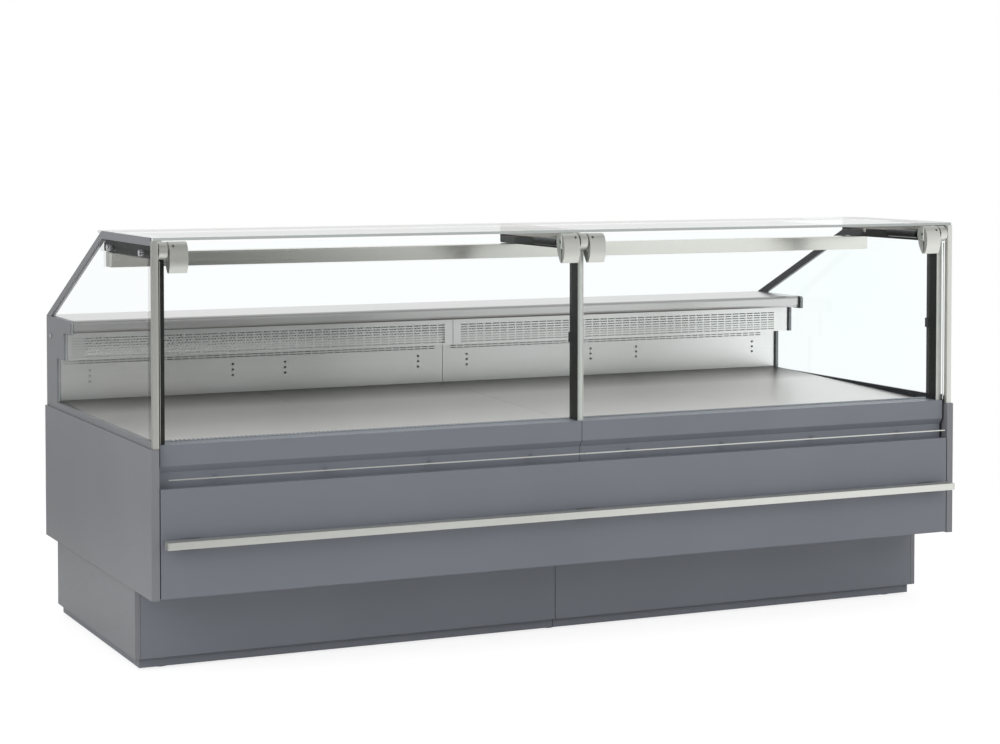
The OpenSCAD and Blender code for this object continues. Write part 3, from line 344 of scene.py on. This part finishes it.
def breakEdges(obj, width):
    for face in obj.data.polygons:
        face.use_smooth = True
    weld = obj.modifiers.new("weld", "WELD")
    weld.merge_threshold = breaking["weld"]
    flat = obj.modifiers.new("flat", "DECIMATE")
    flat.decimate_type = "DISSOLVE"
    flat.angle_limit = math.radians(breaking["flatBelow"])
    bevel = obj.modifiers.new("edgeBreak", "BEVEL")
    bevel.width = width / 1000
    bevel.segments = breaking["segments"]
    bevel.limit_method = "ANGLE"
    bevel.angle_limit = math.radians(breaking["sharpFrom"])
    bevel.use_clamp_overlap = True
    shade = obj.modifiers.new("shade", "WEIGHTED_NORMAL")
    shade.keep_sharp = True


for nodeName, width in edgeBreaks.items():
    breakEdges(nodes[nodeName], width)
print("edges broken:", len(edgeBreaks))

# Repeats: one template in rows and columns, or round a centre, with a small random lean
def repeatGroup():
    tree = bpy.data.node_groups.new("rowsAndTurns", "GeometryNodeTree")
    tree.interface.new_socket("Geometry", in_out="OUTPUT", socket_type="NodeSocketGeometry")
    tree.interface.new_socket("Geometry", in_out="INPUT", socket_type="NodeSocketGeometry")
    kinds = {
        "Columns": "Int", "Rows": "Int", "Seed": "Int", "Start": "Vector", "Pitch": "Vector",
        "Row Pitch": "Vector", "Turn": "Vector", "Lean": "Float", "Material": "Material"}
    for name, kind in kinds.items():
        tree.interface.new_socket(name, in_out="INPUT", socket_type="NodeSocket" + kind)
    given = addNode(tree, "NodeGroupInput").outputs
    line = addNode(tree, "GeometryNodeMeshLine", {
        "Count": given["Columns"], "Start Location": given["Start"], "Offset": given["Pitch"]})
    index = addNode(tree, "GeometryNodeInputIndex").outputs[0]
    turned = addNode(tree, "ShaderNodeVectorMath", {
        0: given["Turn"], "Scale": index}, operation="SCALE")
    lean = addNode(tree, "FunctionNodeRandomValue", {
        0: product(tree, given["Lean"], -1.0), 1: given["Lean"], "Seed": given["Seed"]},
        data_type="FLOAT_VECTOR")
    leaning = addNode(tree, "ShaderNodeVectorMath", {
        0: turned.outputs[0], 1: lean.outputs[0]}, operation="ADD")
    row = addNode(tree, "GeometryNodeInstanceOnPoints", {
        "Points": line.outputs[0], "Instance": given["Geometry"], "Rotation": leaning.outputs[0]})
    column = addNode(tree, "GeometryNodeMeshLine", {
        "Count": given["Rows"], "Offset": given["Row Pitch"]})
    field = addNode(tree, "GeometryNodeInstanceOnPoints", {
        "Points": column.outputs[0], "Instance": row.outputs[0]})
    real = addNode(tree, "GeometryNodeRealizeInstances", {0: field.outputs[0]})
    painted = addNode(tree, "GeometryNodeSetMaterial", {
        "Geometry": real.outputs[0], "Material": given["Material"]})
    addNode(tree, "NodeGroupOutput", {0: painted.outputs[0]})
    return tree


repeater = repeatGroup()


def newPiece(name, mesh, body):
    piece = bpy.data.objects.new(name, mesh)
    bpy.context.scene.collection.objects.link(piece)
    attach(piece, body)
    return piece


def meshOf(name, shape, slot):
    mesh = bpy.data.meshes.new(name)
    mesh.from_pydata([[c / 1000 for c in v] for v in shape[0]], [], shape[1])
    mesh.materials.append(finishes[slot])
    return mesh


def repeated(name, shape, slot, body, start, columns, pitch=(0, 0, 0), rows=1, rowPitch=(0, 0, 0),
             turn=(0, 0, 0), lean=0.0):
    template = bpy.data.objects.new(name + "Template", meshOf(name + "Template", shape, slot))
    bpy.context.scene.collection.objects.link(template)
    modifier = template.modifiers.new("repeat", "NODES")
    modifier.node_group = repeater
    chosen = {
        "Columns": columns, "Rows": rows, "Seed": 7, "Start": place(*start),
        "Pitch": Vector(pitch) / 1000, "Row Pitch": Vector(rowPitch) / 1000,
        "Turn": Vector([math.radians(a) for a in turn]), "Lean": math.radians(lean),
        "Material": finishes[slot]}
    for item in repeater.interface.items_tree:
        if item.in_out == "INPUT" and item.name in chosen:
            modifier[item.identifier] = chosen[item.name]
    template.update_tag()
    graph = bpy.context.evaluated_depsgraph_get()
    mesh = bpy.data.meshes.new_from_object(template.evaluated_get(graph))
    mesh.name = name
    template.modifiers.remove(modifier)
    bpy.data.objects.remove(template)
    return newPiece(name, mesh, body)


# Shapes as lists of corners in millimetres about their own middle, faces turned outwards
def turnedShape(profile, count, star=(), point=0.72):
    # radius and height pairs, closed at both ends: height runs towards +Y
    corners, faces = [], []
    for step, (radius, height) in enumerate(profile):
        for i in range(count):
            r = radius * (point if step in star and i % 2 else 1.0)
            angle = 2 * math.pi * i / count
            corners.append((r * math.cos(angle), height, -r * math.sin(angle)))
    for step in range(len(profile) - 1):
        for i in range(count):
            a, b = step * count + i, step * count + (i + 1) % count
            faces.append((a, b, b + count, a + count))
    faces.append(tuple(range(len(corners) - count, len(corners))))
    faces.append(tuple(reversed(range(count))))
    return corners, faces


def ringShape(radius, wire, count=48, sides=8):
    corners, faces = [], []
    for i in range(count):
        angle = 2 * math.pi * i / count
        for j in range(sides):
            bend = 2 * math.pi * j / sides
            r = radius + wire * math.cos(bend)
            corners.append((r * math.cos(angle), wire * math.sin(bend), r * math.sin(angle)))
    for i in range(count):
        for j in range(sides):
            k, m = (i + 1) % count, (j + 1) % sides
            faces.append((i * sides + j, i * sides + m, k * sides + m, k * sides + j))
    return corners, faces


def tubeShape(across, wall, deep, shifts):
    # open six-sided cells with a wall, front to back along Y
    corners, faces = [], []
    for dx, dz in shifts:
        base = len(corners)
        for radius in (across / math.sqrt(3), across / math.sqrt(3) - wall):
            for y in (0, deep):
                for i in range(6):
                    angle = math.radians(30 + 60 * i)
                    corners.append((dx + radius * math.cos(angle), y, dz + radius * math.sin(angle)))
        for i in range(6):
            j = (i + 1) % 6
            of, ob, nf, nb = ([base + k * 6 + i, base + k * 6 + j] for k in range(4))
            faces += [(of[0], ob[0], ob[1], of[1]), (nf[0], nf[1], nb[1], nb[0]),
                      (of[0], of[1], nf[1], nf[0]), (ob[0], nb[0], nb[1], ob[1])]
    return corners, faces


def foldedFin(deep, high, thick, folds, wave):
    # a thin plate across X, pleated from front to back
    corners, faces = [], []
    for i in range(folds + 1):
        y, x = deep * i / folds, wave * (i % 2)
        for dx, z in ((0, 0), (thick, 0), (thick, high), (0, high)):
            corners.append((x + dx, y, z))
    for i in range(folds):
        a = 4 * i
        for j in range(4):
            k = (j + 1) % 4
            faces.append((a + j, a + 4 + j, a + 4 + k, a + k))
    faces += [(0, 1, 2, 3), (4 * folds + 3, 4 * folds + 2, 4 * folds + 1, 4 * folds)]
    return corners, faces


def padShape(half, high, inset):
    # a low square pad with sloping sides, hanging down along Z
    corners = [(x * h, y * h, z) for h, z in ((half, 0), (half - inset, -high))
               for x, y in ((-1, -1), (1, -1), (1, 1), (-1, 1))]
    faces = [(0, 1, 2, 3), (7, 6, 5, 4)]
    for j in range(4):
        k = (j + 1) % 4
        faces.append((j, j + 4, k + 4, k))
    return corners, faces


def depthOf(metres):
    return metres * 1000 - frontFace


def boxOf(nodeName):
    low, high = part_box(nodeName)
    return (
        (low[0] * 1000, high[0] * 1000), (depthOf(low[1]), depthOf(high[1])),
        (low[2] * 1000, high[2] * 1000))


# Honeycomb air straightener behind the slots of the outlet grilles, a guess that makes them pale
comb = {
    "across": 10.0, "wall": 2.0, "deep": 12.0, "behind": 2.2, "inset": 30.0, "floor": 6.0, "rows": 6}
x, y, z = boxOf("air_grilles")
side = comb["across"] / math.sqrt(3)
columns = int((x[1] - 2 * comb["inset"]) / comb["across"])
cells = tubeShape(
    comb["across"], comb["wall"], comb["deep"], [(0, 0), (comb["across"] / 2, 1.5 * side)])
for name, edge in (("airStraightenerLeft", x[0]), ("airStraightenerRight", 0.0)):
    start = (edge + comb["inset"], y[0] + comb["behind"], z[0] + comb["floor"] + side)
    repeated(name, cells, "insulation", "cabinet", start, columns, (comb["across"], 0, 0),
             comb["rows"], (0, 0, 3 * side))
print("straightener made:", columns, "columns")

# Pleated aluminium fins between the stout ones of the coil
fin = {
    "pitch": 7.0, "thick": 0.25, "folds": 22, "wave": 1.6, "margin": 6.0, "clear": 4.0, "high": 112.0,
    "lean": 0.15}
x, y, z = boxOf("evaporator_coil")
count = int((x[1] - x[0] - 2 * fin["margin"]) / fin["pitch"])
finShape = foldedFin(
    y[1] - y[0] - 2 * fin["clear"], fin["high"], fin["thick"], fin["folds"], fin["wave"])
start = (x[0] + fin["margin"], y[0] + fin["clear"], z[1] - fin["high"] - fin["clear"])
repeated("coilFins", finShape, "aluminium", "cabinet", start, count, (fin["pitch"], 0, 0),
         lean=fin["lean"])
print("coil fins made:", count)

# Light-emitting diodes under the strip in the lamp bar
diode = {"pitch": 25.0, "half": 2.5, "high": 1.2, "inset": 0.5}
x, y, z = boxOf("led_strip")
repeated("lampDiodes", padShape(diode["half"], diode["high"], diode["inset"]), "opal_plastic",
         "cabinet", (x[0] + diode["pitch"], (y[0] + y[1]) / 2, z[0]),
         int((x[1] - x[0]) / diode["pitch"]) - 1, (diode["pitch"], 0, 0))

# Screws with a star socket, along the upper and lower edges of the rear panel and round the box
screw = {
    "count": 9, "inset": 60.0, "edge": 22.0, "boxInset": 8.0, "boxLip": 1.5,
    "head": [(4.2, -0.2), (4.2, 0.7), (3.4, 1.7), (2.1, 2.1), (2.0, 2.1), (1.8, 0.7)]}
screwHead = turnedShape(screw["head"], 12, star=(4, 5))
x, y, z = boxOf("rear_panel")
step = (x[1] - x[0] - 2 * screw["inset"]) / (screw["count"] - 1)
belowLip = boxOf("worktop")[2][0] - screw["edge"]
start = (x[0] + screw["inset"], y[1], z[0] + screw["edge"])
repeated("panelScrews", screwHead, "bright_trim", "cabinet", start, screw["count"], (step, 0, 0),
         2, (0, 0, belowLip - z[0] - screw["edge"]))
x, y, z = boxOf("control_box")
face = y[1] - screw["boxLip"]
start = (x[0] + screw["boxInset"], face, z[0] + screw["boxInset"])
repeated("boxScrews", screwHead, "bright_trim", "cabinet", start,
         2, (x[1] - x[0] - 2 * screw["boxInset"], 0, 0), 2, (0, 0, z[1] - z[0] - 2 * screw["boxInset"]))

# Raised marks round the thermostat knob, over the 270 degrees that it turns
mark = {"count": 11, "over": 270, "from": 23.0, "to": 29.0, "half": 0.6, "high": 0.5, "slope": 0.2}
markShape = ([(u, v, w) for v, t in ((0, 0), (mark["high"], mark["slope"])) for u, w in (
    (-mark["half"] + t, mark["from"] + t), (mark["half"] - t, mark["from"] + t),
    (mark["half"] - t, mark["to"] - t), (-mark["half"] + t, mark["to"] - t))],
    [(0, 1, 2, 3), (7, 6, 5, 4), (0, 4, 5, 1), (1, 5, 6, 2), (2, 6, 7, 3), (3, 7, 4, 0)])
dial = boxOf("thermostat_knob")
centre = ((dial[0][0] + dial[0][1]) / 2, (dial[2][0] + dial[2][1]) / 2)
repeated("dialMarks", markShape, "bright_trim", "cabinet", (centre[0], face, centre[1]),
         mark["count"], turn=(0, mark["over"] / (mark["count"] - 1), 0))

# Small metal cap on the near side of the right arm
pad = {
    "depth": 420.0, "height": 1144.0,
    "profile": [(7.5, -0.3), (7.5, 1.6), (6.5, 2.5), (4.5, 2.5), (4.1, 2.0)]}
rightArmFrom = 1.0
armFace = 1000 * min(
    v.co.x for v in nodes["canopy_arms"].data.vertices if v.co.x > rightArmFrom)
corners, faces = turnedShape(pad["profile"], 32)
padMesh = meshOf("armPad", ([
    (armFace - b, a + pad["depth"] + frontFace, c + pad["height"]) for a, b, c in corners],
    faces), "aluminium")
newPiece("armPad", padMesh, "cabinet")

# Wire guards behind the fan rotors: five rings on six spokes
guard = {
    "rings": 5, "first": 22.0, "step": 20.5, "wire": 1.3, "behind": 4.0, "spokes": 6,
    "spoke": [(1.3, 14.0), (1.3, 20.0), (1.3, 107.0), (1.0, 108.0)]}
spokeEnds = turnedShape(guard["spoke"], 8)
spoke = ([(a, c, b) for a, b, c in spokeEnds[0]], [tuple(reversed(f)) for f in spokeEnds[1]])
for name in ("fan_rotor_left", "fan_rotor_right"):
    x, y, z = boxOf(name)
    middle = ((x[0] + x[1]) / 2, (z[0] + z[1]) / 2)
    label = name.replace("fan_rotor_", "").capitalize()
    back = y[1] + guard["behind"]
    repeated("guardSpokes" + label, spoke, "bright_trim", "cabinet",
             (middle[0], back, middle[1]), guard["spokes"], turn=(0, 360 / guard["spokes"], 0))
    corners, faces = [], []
    for i in range(guard["rings"]):
        ring = ringShape(guard["first"] + i * guard["step"], guard["wire"])
        faces += [tuple(len(corners) + v for v in f) for f in ring[1]]
        corners += ring[0]
    ringDepth = back + 2 * guard["wire"] + frontFace
    rings = meshOf("guardRings" + label, (
        [(a + middle[0], b + ringDepth, c + middle[1]) for a, b, c in corners], faces), "bright_trim")
    newPiece("guardRings" + label, rings, "cabinet")
print("details made")

# Studio: pale floor and backdrop, white to the eye, with a dim side for the gloss to the left
studio = {
    "ambient": 0.62, "floorHalf": 40.0, "shadowShare": 0.3, "floorBounce": 0.8,
    "dim": 0.07, "dimFrom": 0.24, "brightFrom": 0.5, "nearFloor": 1.6, "farFloor": 3.2,
    "floorGlow": 1.17, "floorSeen": 0.97, "overhead": 0.5, "overheadFrom": 0.3, "overheadTo": 0.75,
    "leftBehind": 0.2, "leftTurn": (-0.5, -0.1),
}


def bounced(tree, kind):
    # a bounce still counts after the ray has left through a pane
    return mathOf(tree, addNode(tree, "ShaderNodeLightPath").outputs[kind], 0.5, "GREATER_THAN")


def seenDirectly(tree):
    either = mathOf(tree, bounced(tree, "Diffuse Depth"), bounced(tree, "Glossy Depth"), "MAXIMUM")
    return mathOf(tree, 1.0, either, "SUBTRACT")


def glossLevel(tree, toRight, toBack):
    # what shiny surfaces see: dim to the left of the front and of the back, bright elsewhere
    across = addNode(tree, "ShaderNodeMapRange", {
        "Value": toRight, 1: studio["dimFrom"], 2: studio["brightFrom"], 3: studio["dim"], 4: 1.0},
        interpolation_type="SMOOTHSTEP").outputs[0]
    turnFrom, turnTo = studio["leftTurn"]
    behind = product(tree, spread(tree, toBack, turnFrom, turnTo, 0.0, 1.0),
                     spread(tree, toRight, turnFrom, turnTo, studio["leftBehind"], 1.0))
    return mathOf(tree, across, behind, "MAXIMUM")


world = bpy.data.worlds.new("studioWorld")
bpy.context.scene.world = world
world.use_nodes = True
worldTree = world.node_tree
worldTree.nodes.clear()
aim = addNode(worldTree, "ShaderNodeSeparateXYZ", {
    0: addNode(worldTree, "ShaderNodeTexCoord").outputs["Generated"]})
overhead = spread(
    worldTree, aim.outputs[2], studio["overheadFrom"], studio["overheadTo"], 1.0, studio["overhead"])
gloss = product(worldTree, glossLevel(worldTree, aim.outputs[0], aim.outputs[1]), overhead)
diffuse = addNode(worldTree, "ShaderNodeMix", {
    0: bounced(worldTree, "Diffuse Depth"), 2: gloss, 3: studio["ambient"]},
    data_type="FLOAT").outputs[0]
strength = addNode(worldTree, "ShaderNodeMix", {
    0: seenDirectly(worldTree), 2: diffuse, 3: 1.0}, data_type="FLOAT").outputs[0]
sky = addNode(worldTree, "ShaderNodeBackground", {"Color": (1, 1, 1, 1), "Strength": strength})
addNode(worldTree, "ShaderNodeOutputWorld", {"Surface": sky.outputs[0]})

floorMaterial = bpy.data.materials.new("paleStudioFloor")
floorMaterial.use_nodes = True
floorTree = floorMaterial.node_tree
floorTree.nodes.clear()
bounce = spread(floorTree, bounced(floorTree, "Diffuse Depth"), 0.0, 1.0,
                studio["floorSeen"], studio["floorBounce"])
matte = addNode(floorTree, "ShaderNodeBsdfDiffuse", {"Color": grey(floorTree, bounce)})
spot = addNode(floorTree, "ShaderNodeTexCoord").outputs["Object"]
away = addNode(floorTree, "ShaderNodeVectorMath", {0: spot}, operation="LENGTH").outputs["Value"]
glow = addNode(floorTree, "ShaderNodeEmission", {"Color": (1, 1, 1, 1), "Strength": spread(
    floorTree, away, studio["nearFloor"], studio["farFloor"], studio["floorGlow"], 1.0)})
lit = spread(floorTree, away, studio["nearFloor"], studio["farFloor"], 1 - studio["shadowShare"], 1.0)
share = product(floorTree, seenDirectly(floorTree), lit)
plain = addNode(floorTree, "ShaderNodeMixShader", {0: share, 1: matte.outputs[0], 2: glow.outputs[0]})
bearing = addNode(floorTree, "ShaderNodeSeparateXYZ", {0: addNode(
    floorTree, "ShaderNodeVectorMath", {0: spot}, operation="NORMALIZE").outputs[0]}).outputs
mirrored = addNode(floorTree, "ShaderNodeEmission", {
    "Color": (1, 1, 1, 1), "Strength": glossLevel(floorTree, bearing[0], bearing[1])})
glossy = mathOf(
    floorTree, bounced(floorTree, "Glossy Depth"), bounced(floorTree, "Diffuse Depth"), "SUBTRACT")
far = spread(floorTree, away, studio["nearFloor"], studio["farFloor"], 0.0, 1.0)
mixed = addNode(floorTree, "ShaderNodeMixShader", {
    0: product(floorTree, glossy, far), 1: plain.outputs[0], 2: mirrored.outputs[0]})
addNode(floorTree, "ShaderNodeOutputMaterial", {"Surface": mixed.outputs[0]})

half = studio["floorHalf"]
floorMesh = bpy.data.meshes.new("floor")
floorMesh.from_pydata(
    [(-half, -half, 0), (half, -half, 0), (half, half, 0), (-half, half, 0)], [], [(0, 1, 2, 3)])
floor = bpy.data.objects.new("floor", floorMesh)
bpy.context.scene.collection.objects.link(floor)
floorMesh.materials.append(floorMaterial)

# Softboxes: place, point they face, size in metres, watts
softboxes = {
    "leftBox": ((-4.5, -2.0, 2.8), (0, 0, 0.6), 3.0, 82),
    "frontBox": ((2.9, -4.9, 3.4), (0.8, 0, 0.6), 3.0, 74),
    "topBox": ((0.4, 0.4, 4.2), (0, 0, 0.6), 3.6, 48),
}
for name, (where, facing, size, power) in softboxes.items():
    lamp = bpy.data.lights.new(name, "AREA")
    lamp.shape = "SQUARE"
    lamp.size = size
    lamp.energy = power
    lampObject = bpy.data.objects.new(name, lamp)
    lampObject.location = where
    towards = Vector(facing) - Vector(where)
    lampObject.rotation_euler = towards.to_track_quat("-Z", "Y").to_euler()
    # the other two would burn out the worktop and the trays from behind and from above
    lampObject.visible_glossy = name == "leftBox"
    bpy.context.scene.collection.objects.link(lampObject)
print("studio made")
